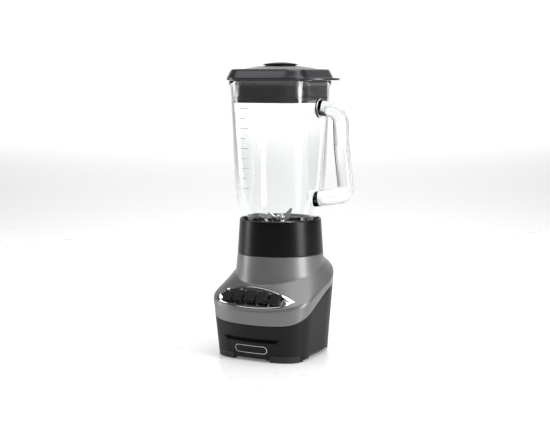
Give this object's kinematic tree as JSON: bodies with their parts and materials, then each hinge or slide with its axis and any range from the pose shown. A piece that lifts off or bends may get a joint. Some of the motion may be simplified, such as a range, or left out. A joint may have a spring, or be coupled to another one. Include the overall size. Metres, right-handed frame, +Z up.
{
  "type": "countertop blender",
  "caption": "Countertop blender: a motor base with sloped push-key panel, and a lift-off glass jar with side handle, screw-on blade collar and plug-in lid.",
  "frame": {"origin": "where the drive axis meets the worktop that the feet stand on", "axes": "+Z up along the drive axis, front with the keys faces -Y, jar handle points along +X"},
  "size_m": [0.1789, 0.1574, 0.3855],
  "materials": {
    "grey_paint": "satin metallic",
    "black_body": "satin",
    "gloss_black": "gloss",
    "lid_black": "gloss",
    "chrome": "polished",
    "key_black": "fine texture",
    "rubber": "matt",
    "glass": "clear",
    "steel": "brushed",
    "aluminium": "cast",
    "lamination": "varnished stack",
    "copper": "enamelled wire",
    "brass": "turned",
    "carbon": "dull",
    "inner_plastic": "moulded",
    "coupling_rubber": "moulded"
  },
  "bodies": {
    "base": {"hood": "grey_paint", "lower_body": "black_body", "bottom_cover": "inner_plastic", "bezel": "chrome", "badge": "black_body", "switch_block": "inner_plastic", "cord_gland": "rubber", "motor_mount": "aluminium", "lower_bracket": "aluminium", "upper_bearing": "brass", "lower_bearing": "brass", "stator_core": "lamination", "field_windings": "copper", "carbon_brushes": "carbon", "brush_holders": "brass", "motor_screws": "steel", "housing_screws": "steel", "foot_front_left": "rubber", "foot_front_right": "rubber", "foot_rear_left": "rubber", "foot_rear_right": "rubber", "key_spring_1": "steel", "key_spring_2": "steel", "key_spring_3": "steel", "key_spring_4": "steel", "key_spring_5": "steel"},
    "rotor": {"motor_shaft": "steel", "armature_core": "lamination", "armature_windings": "copper", "commutator": "brass", "cooling_fan": "inner_plastic", "drive_stud": "steel"},
    "jar_base": {"jar_collar": "gloss_black", "blade_carrier": "steel", "jar_gasket": "rubber", "blade_bushing": "brass"},
    "blades": {"blade_shaft": "steel", "lower_blade": "steel", "upper_blade": "steel", "blade_washers": "steel", "blade_nut": "steel", "drive_socket": "coupling_rubber"},
    "jar": {"glass_jar": "glass"},
    "lid": {"lid": "lid_black", "lid_gasket": "rubber"},
    "cap": {"measuring_cap": "lid_black"},
    "key_1": {"key_1": "key_black"},
    "key_2": {"key_2": "key_black"},
    "key_3": {"key_3": "key_black"},
    "key_4": {"key_4": "key_black"},
    "key_5": {"key_5": "key_black"}
  },
  "joints": [
    {"name": "motor_spin", "type": "hinge", "parent": "base", "child": "rotor", "pos_m": [0, 0, 0], "axis": [0, 0, 1], "continuous": true},
    {"name": "jar_lift", "type": "slide", "parent": "base", "child": "jar_base", "axis": [0, 0, 1], "range_m": [0, 0.06]},
    {"name": "blade_spin", "type": "hinge", "parent": "jar_base", "child": "blades", "pos_m": [0, 0, 0.15], "axis": [0, 0, 1], "continuous": true},
    {"name": "jar_unscrew", "type": "slide", "parent": "jar_base", "child": "jar", "axis": [0, 0, 1], "range_m": [0, 0.03]},
    {"name": "lid_lift", "type": "slide", "parent": "jar", "child": "lid", "axis": [0, 0, 1], "range_m": [0, 0.045]},
    {"name": "cap_lift", "type": "slide", "parent": "lid", "child": "cap", "axis": [0, 0, 1], "range_m": [0, 0.025]},
    {"name": "key_1_press", "type": "slide", "parent": "base", "child": "key_1", "axis": [0, 0.7431, -0.6691], "range_m": [0, 0.0035], "stiffness_N_per_m": 400, "springref_m": -0.002, "deforming": ["key_spring_1"]},
    {"name": "key_2_press", "type": "slide", "parent": "base", "child": "key_2", "axis": [0, 0.7431, -0.6691], "range_m": [0, 0.0035], "stiffness_N_per_m": 400, "springref_m": -0.002, "deforming": ["key_spring_2"]},
    {"name": "key_3_press", "type": "slide", "parent": "base", "child": "key_3", "axis": [0, 0.7431, -0.6691], "range_m": [0, 0.0035], "stiffness_N_per_m": 400, "springref_m": -0.002, "deforming": ["key_spring_3"]},
    {"name": "key_4_press", "type": "slide", "parent": "base", "child": "key_4", "axis": [0, 0.7431, -0.6691], "range_m": [0, 0.0035], "stiffness_N_per_m": 400, "springref_m": -0.002, "deforming": ["key_spring_4"]},
    {"name": "key_5_press", "type": "slide", "parent": "base", "child": "key_5", "axis": [0, 0.7431, -0.6691], "range_m": [0, 0.0035], "stiffness_N_per_m": 400, "springref_m": -0.002, "deforming": ["key_spring_5"]}
  ],
  "couplings": [
    {"joint": "blade_spin", "follows": "motor_spin", "ratio": 1}
  ]
}
